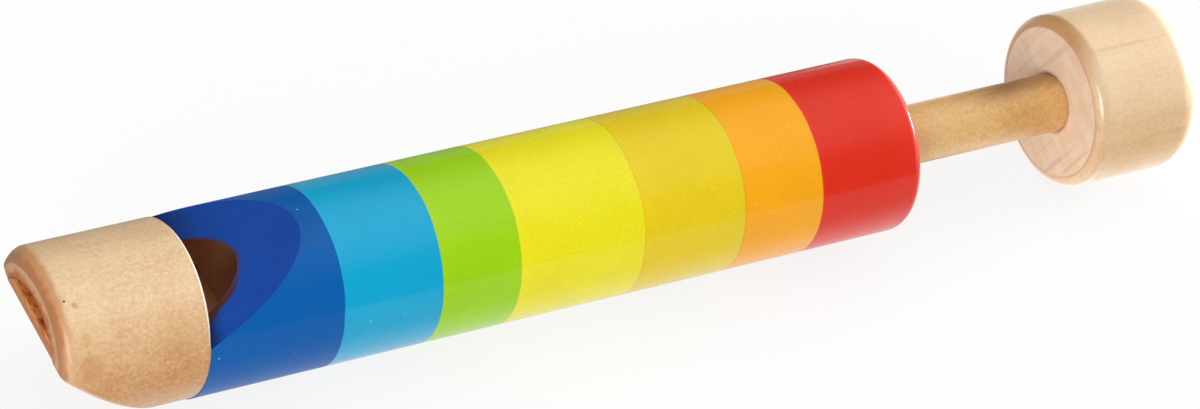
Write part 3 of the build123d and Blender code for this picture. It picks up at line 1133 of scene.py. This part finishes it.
# %% [markdown]
# ## The felt ring
# A ring punched from pressed wool seals the piston in the bore. Its cut edges are soft and it sheds short
# fibres. Hair strands are no mesh, and the export takes meshes, so the ring is one rolled wall with a
# rounded, slightly lumpy section, and a nap of hundreds of tiny spikes is scattered over it with a fixed
# seed. The wall is kept a little smaller than the solid, so that the nap ends at the solid's size.

# %% The felt's section
felt_low, felt_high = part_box("piston_felt")
FELT_SIZES = {
    "Place": felt_low.x,
    "Thickness": felt_high.x - felt_low.x,
    "Radius": felt_high.y,
    "Hole": 6.1 * MM,
    "Nap": 0.22 * MM,
}
SQUARENESS = 0.4
LUMP = 0.12
SEAM_TURN = 0.125
tree, fields = new_tree("felt ring", FELT_SIZES)
start, thickness_and_shadow, outer, hole, nap_length = fields
turn, step = roll(tree)


def softened(value):
    """A swing from -1 to 1 that stays near its ends, so that a circle becomes a rounded square."""
    return value.do("SIGN") * value.do("ABSOLUTE").do("POWER", SQUARENESS)


# The seam lies an eighth of a turn round the section, where both swings are far from 0. Near 0 the power
# is so steep that the two sides of the seam would not meet.
section = (step + SEAM_TURN) * (2 * math.pi)
round_ring = join(tree, turn.do("SINE") * 4, turn.do("COSINE") * 4, section.do("SINE"))
give = noise(tree, round_ring, detail=3.0) * LUMP + (1.0 - LUMP)
half_wide = (outer - hole) * 0.5 - nap_length
half_thick = thickness_and_shadow * 0.5 - nap_length
felt_along = start + thickness_and_shadow * 0.5 + half_thick * softened(section.do("SINE")) * give
felt_radius = (outer + hole) * 0.5 + half_wide * softened(section.do("COSINE")) * give
tell("felt section", tree)

# %% The felt's nap and its mesh
NAP_PER_SQUARE_METRE = 900000.0
NAP_SEED = 7
SPIKE_R = 0.02 * MM
SPIKE_LEAN = 0.7
SPIKE_TURN = 3.0
TURN_SEED = 11


def wool_nap(tree, skin):
    """Short spikes of wool over the skin, each turned its own way."""
    scattered = tree.nodes.new("GeometryNodeDistributePointsOnFaces")
    tree.links.new(skin, scattered.inputs["Mesh"])
    scattered.inputs["Density"].default_value = NAP_PER_SQUARE_METRE
    scattered.inputs["Seed"].default_value = NAP_SEED
    spike = tree.nodes.new("GeometryNodeMeshCone")
    spike.inputs["Vertices"].default_value = 3
    spike.inputs["Radius Top"].default_value = 0.0
    spike.inputs["Radius Bottom"].default_value = SPIKE_R
    plug(tree, spike.inputs["Depth"], nap_length)
    planted = tree.nodes.new("GeometryNodeInstanceOnPoints")
    tree.links.new(scattered.outputs["Points"], planted.inputs["Points"])
    tree.links.new(spike.outputs["Mesh"], planted.inputs["Instance"])
    tree.links.new(scattered.outputs["Rotation"], planted.inputs["Rotation"])
    tilted = tree.nodes.new("GeometryNodeRotateInstances")
    turned = tree.nodes.new("FunctionNodeRandomValue")
    turned.data_type = "FLOAT_VECTOR"
    turned.inputs["Min"].default_value = (-SPIKE_LEAN, -SPIKE_LEAN, -SPIKE_TURN)
    turned.inputs["Max"].default_value = (SPIKE_LEAN, SPIKE_LEAN, SPIKE_TURN)
    turned.inputs["Seed"].default_value = TURN_SEED
    tree.links.new(planted.outputs[0], tilted.inputs["Instances"])
    tree.links.new(turned.outputs["Value"], tilted.inputs["Rotation"])
    return tilted.outputs[0]


close(tree, [(wool, wall(tree, 40, felt_along, felt_radius))], sharp=80, nap=wool_nap)
felt = bake("felt_ring", tree, FELT_SIZES)

# %% [markdown]
# ## Put the pieces on their bodies
# Barrel and mouthpiece are glued together and stay still. The knob rides with the plunger. The felt slides
# with the plunger but doesn't turn with it. Each piece hides the solid that it stands for, which stays in
# the simulation for contact.

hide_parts("barrel")
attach(barrel, "barrel")
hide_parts("mouthpiece")
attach(mouthpiece, "barrel")
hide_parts("knob")
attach(knob, "plunger")
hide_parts("piston_felt")
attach(felt, "seal")
